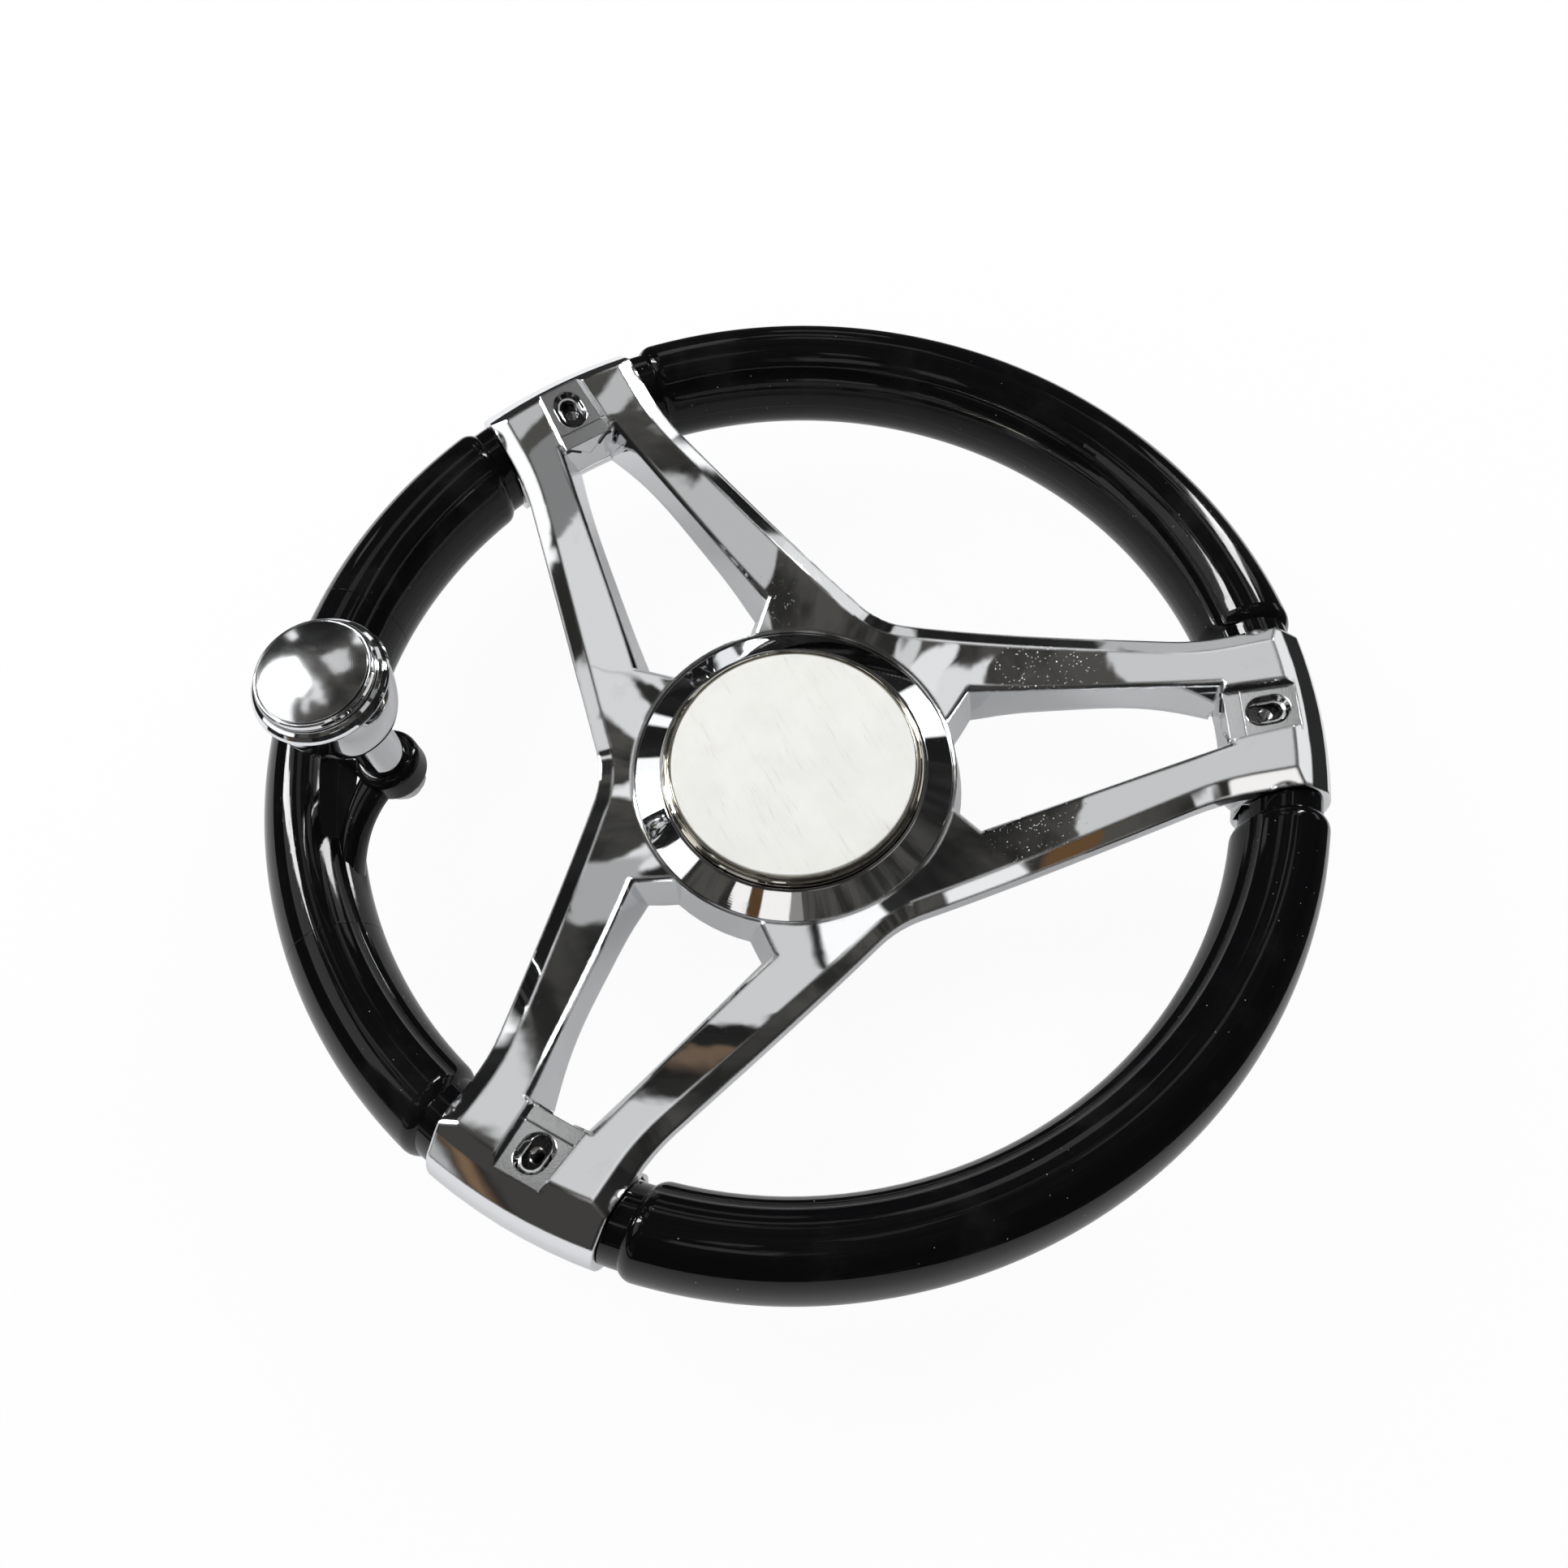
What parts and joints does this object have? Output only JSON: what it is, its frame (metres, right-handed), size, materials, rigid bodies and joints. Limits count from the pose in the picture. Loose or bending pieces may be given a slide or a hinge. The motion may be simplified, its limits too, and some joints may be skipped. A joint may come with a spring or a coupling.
{
  "type": "boat steering wheel",
  "caption": "Dished three-spoke boat steering wheel with a moulded oval rim, paired open legs to each spoke, a round centre cap and a spinner knob.",
  "frame": {"origin": "centre of the shaft hole at the back face of the hub insert", "axes": "+Z along the steering shaft towards the driver, +X along spoke 1 (the picture's right-hand spoke), +Y towards the picture's top"},
  "size_m": [0.35, 0.35, 0.1328],
  "materials": {
    "polished_metal": "mirror polished",
    "chromed_casting": "die cast, chrome plated, mirror polished",
    "satin_metal": "pale satin with fine scratches",
    "plain_steel": "machined",
    "screw_steel": "turned stainless",
    "black_grip": "high gloss, smooth moulded",
    "black_plastic": "moulded",
    "rubber": "smooth",
    "bearing_bronze": "sintered"
  },
  "bodies": {
    "wheel": {"spoke_frame": "chromed_casting", "rim_core": "plain_steel", "rear_clamps": "chromed_casting", "clamp_screws": "screw_steel", "grip_top": "black_grip", "grip_bottom": "black_grip", "grip_left_upper": "black_grip", "grip_left_lower": "black_grip", "knob_sleeve": "black_grip", "sleeve_screws": "screw_steel", "hub_insert": "plain_steel", "cap_bezel": "polished_metal", "cap_ring": "polished_metal", "cap_disc": "satin_metal", "cap_housing": "black_plastic", "cap_seal": "rubber", "knob_stem": "polished_metal", "knob_washer": "screw_steel", "knob_spindle": "screw_steel", "knob_nut": "screw_steel"},
    "knob": {"knob_body": "polished_metal", "knob_cap": "polished_metal", "knob_bushes": "bearing_bronze"}
  },
  "joints": [
    {"name": "knob_spin", "type": "hinge", "parent": "wheel", "child": "knob", "pos_m": [-0.12974, -0.00816, 0.0737], "axis": [-0.0748, -0.0047, 0.9972], "continuous": true}
  ]
}
